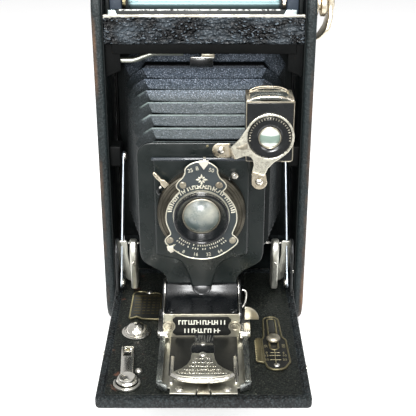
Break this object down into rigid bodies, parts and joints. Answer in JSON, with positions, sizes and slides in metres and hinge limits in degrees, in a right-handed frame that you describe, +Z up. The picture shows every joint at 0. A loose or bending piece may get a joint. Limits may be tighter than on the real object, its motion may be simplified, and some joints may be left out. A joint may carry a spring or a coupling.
{
  "type": "folding roll film camera",
  "caption": "Vertical folding roll-film camera standing open on its body and foot, with drop bed, bellows, shutter, swivelling finder and winding key.",
  "frame": {"origin": "centre of the body's flat bottom, which it stands on together with the folding foot", "axes": "+Z up along the body's length, +Y to the back, -Y along the lens axis to the subject, +X to the winding key's side"},
  "size_m": [0.0964, 0.1398, 0.158],
  "materials": {
    "leather": "coarse grain, satin, worn brown at the edges",
    "nickel": "polished nickel plate, lightly tarnished",
    "brass": "satin, black enamel field",
    "enamel": "satin black",
    "black_metal": "gloss black",
    "bellows_leather": "thin pleated leather, satin",
    "glass": "polished",
    "ruby_glass": "polished"
  },
  "bodies": {
    "camera_body": {"side_wall_left": "leather", "side_wall_right": "leather", "front_panel": "leather", "lower_shell": "leather", "upper_chamber_wall": "enamel", "lower_chamber_wall": "enamel", "film_gate": "enamel", "takeup_pivot": "brass", "supply_pivot_left": "brass", "supply_pivot_right": "brass", "key_collar": "nickel", "strut_left": "nickel", "strut_right": "nickel", "bed_bracket_left": "nickel", "bed_bracket_right": "nickel", "hinge_rod": "nickel", "bed_tray": "leather", "bed_lining": "enamel", "track": "nickel", "body_track": "nickel", "distance_plate": "brass", "exposure_plate": "brass", "tripod_cover": "nickel", "bellows": "bellows_leather"},
    "carriage": {"carriage_base": "black_metal", "carriage_cover": "enamel", "finger_pull": "nickel", "lens_board": "enamel", "shutter_case": "black_metal", "shutter_face": "enamel", "front_lens_mount": "black_metal", "front_lens": "glass", "rear_lens_mount": "black_metal", "rear_lens": "glass", "finder_bracket": "nickel"},
    "finder": {"finder_body": "nickel", "finder_glass": "glass", "finder_lens": "glass"},
    "speed_dial": {"speed_pointer": "nickel"},
    "aperture_dial": {"aperture_pointer": "nickel"},
    "release": {"release_lever": "nickel"},
    "blade_left": {"shutter_blade_left": "black_metal"},
    "blade_right": {"shutter_blade_right": "black_metal"},
    "carriage_lock": {"lock_lever": "nickel"},
    "distance_slider": {"distance_stop": "nickel"},
    "bed_catch": {"catch_spring": "nickel"},
    "door_catch": {"catch_arm": "nickel"},
    "lug_left": {"strut_lug_left": "nickel"},
    "lug_right": {"strut_lug_right": "nickel"},
    "key": {"winding_key": "nickel", "takeup_spool": "nickel"},
    "supply": {"supply_spool": "nickel"},
    "roller_upper": {"upper_roller": "nickel"},
    "roller_lower": {"lower_roller": "nickel"},
    "back": {"back_cover": "leather", "red_window": "ruby_glass"},
    "door": {"writing_door": "enamel"},
    "pen": {"stylus": "nickel"},
    "back_lock": {"back_catch": "nickel"},
    "foot": {"support_foot": "nickel"}
  },
  "joints": [
    {"name": "carriage_slide", "type": "slide", "parent": "camera_body", "child": "carriage", "axis": [0, -1, 0], "range_m": [-0.05, 0.004], "deforming": ["bellows"]},
    {"name": "finder_swivel", "type": "hinge", "parent": "carriage", "child": "finder", "pos_m": [0.0229, -0.07, 0.1108], "axis": [0, 1, 0], "range_deg": [0, 90]},
    {"name": "speed_pointer_turn", "type": "hinge", "parent": "carriage", "child": "speed_dial", "pos_m": [-0.0009, -0.07, 0.0793], "axis": [0, 1, 0], "range_deg": [-24, 24]},
    {"name": "aperture_pointer_turn", "type": "hinge", "parent": "carriage", "child": "aperture_dial", "pos_m": [-0.0009, -0.07, 0.0793], "axis": [0, -1, 0], "range_deg": [0, 78]},
    {"name": "release_press", "type": "hinge", "parent": "carriage", "child": "release", "pos_m": [-0.0107, -0.0666, 0.0885], "axis": [0, 1, 0], "range_deg": [-9, 0], "stiffness_Nm_per_rad": 0.004},
    {"name": "blade_left_swing", "type": "hinge", "parent": "carriage", "child": "blade_left", "pos_m": [-0.0124, -0.0649, 0.0793], "axis": [0, 1, 0], "range_deg": [0, 27]},
    {"name": "blade_right_swing", "type": "hinge", "parent": "carriage", "child": "blade_right", "pos_m": [0.0106, -0.0655, 0.0793], "axis": [0, 1, 0], "range_deg": [0, 27]},
    {"name": "lock_lever_turn", "type": "hinge", "parent": "carriage", "child": "carriage_lock", "pos_m": [0.0153, -0.0728, 0.0373], "axis": [0, 0, 1], "range_deg": [0, 55]},
    {"name": "distance_stop_slide", "type": "slide", "parent": "camera_body", "child": "distance_slider", "axis": [0, 1, 0], "range_m": [-0.0045, 0.012]},
    {"name": "bed_catch_press", "type": "hinge", "parent": "camera_body", "child": "bed_catch", "pos_m": [-0.0278, -0.0874, 0.033], "axis": [1, 0, 0], "range_deg": [0, 2], "stiffness_Nm_per_rad": 0.05},
    {"name": "door_catch_lift", "type": "hinge", "parent": "camera_body", "child": "door_catch", "pos_m": [-0.0334, -0.015, 0.123], "axis": [0, 1, 0], "range_deg": [-3, 0], "stiffness_Nm_per_rad": 0.05},
    {"name": "lug_left_press", "type": "hinge", "parent": "camera_body", "child": "lug_left", "pos_m": [-0.0294, -0.041, 0.0348], "axis": [0, 1, 0], "range_deg": [0, 8], "stiffness_Nm_per_rad": 0.05},
    {"name": "lug_right_press", "type": "hinge", "parent": "camera_body", "child": "lug_right", "pos_m": [0.0294, -0.041, 0.0348], "axis": [0, 1, 0], "range_deg": [-8, 0], "stiffness_Nm_per_rad": 0.05},
    {"name": "winding_key_turn", "type": "hinge", "parent": "camera_body", "child": "key", "pos_m": [0.044, 0, 0.1429], "axis": [1, 0, 0], "continuous": true},
    {"name": "supply_turn", "type": "hinge", "parent": "camera_body", "child": "supply", "pos_m": [0, 0, 0.0151], "axis": [1, 0, 0], "continuous": true},
    {"name": "upper_roller_turn", "type": "hinge", "parent": "camera_body", "child": "roller_upper", "pos_m": [0, 0.0134, 0.1319], "axis": [1, 0, 0], "continuous": true},
    {"name": "lower_roller_turn", "type": "hinge", "parent": "camera_body", "child": "roller_lower", "pos_m": [0, 0.0134, 0.0269], "axis": [1, 0, 0], "continuous": true},
    {"name": "back_removal", "type": "slide", "parent": "camera_body", "child": "back", "axis": [0, 1, 0], "range_m": [0, 0.06]},
    {"name": "writing_door_swing", "type": "hinge", "parent": "back", "child": "door", "pos_m": [0, 0.0218, 0.0317], "axis": [1, 0, 0], "range_deg": [-100, 0]},
    {"name": "stylus_pull", "type": "slide", "parent": "back", "child": "pen", "axis": [1, 0, 0], "range_m": [0, 0.03]},
    {"name": "back_catch_slide", "type": "slide", "parent": "back", "child": "back_lock", "axis": [0, 0, 1], "range_m": [-0.004, 0]},
    {"name": "support_foot_fold", "type": "hinge", "parent": "camera_body", "child": "foot", "pos_m": [0, -0.058, 0.026], "axis": [1, 0, 0], "range_deg": [0, 90]}
  ],
  "couplings": [
    {"joint": "blade_left_swing", "follows": "release_press", "ratio": -3},
    {"joint": "blade_right_swing", "follows": "release_press", "ratio": -3}
  ]
}
